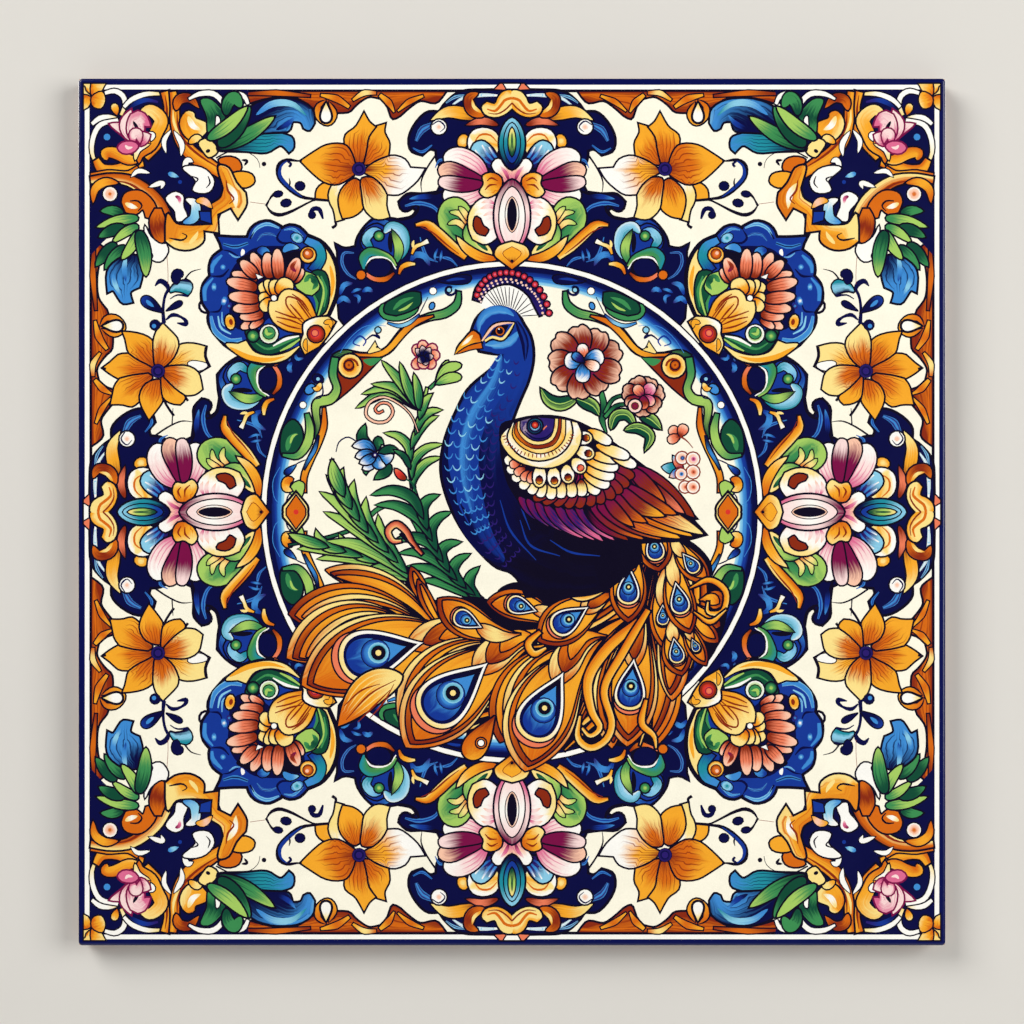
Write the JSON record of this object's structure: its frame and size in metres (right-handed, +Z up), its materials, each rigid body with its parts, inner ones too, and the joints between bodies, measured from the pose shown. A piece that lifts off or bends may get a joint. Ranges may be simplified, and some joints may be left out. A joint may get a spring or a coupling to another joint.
{
  "type": "decorative wall tile",
  "caption": "Square glazed earthenware wall tile with a painted bird medallion and flower border, rounded edges and a ribbed back.",
  "frame": {"origin": "middle of the tile's back, in the plane that lies on the wall", "axes": "+Z up the hung tile, +Y into the wall, +X to the right as seen from the front; the painted face looks along -Y"},
  "size_m": [0.305, 0.01, 0.305],
  "materials": {
    "glaze": "smooth clear glaze over painted colours, satin gloss"
  },
  "bodies": {
    "root": {"tile": "glaze"}
  },
  "joints": []
}
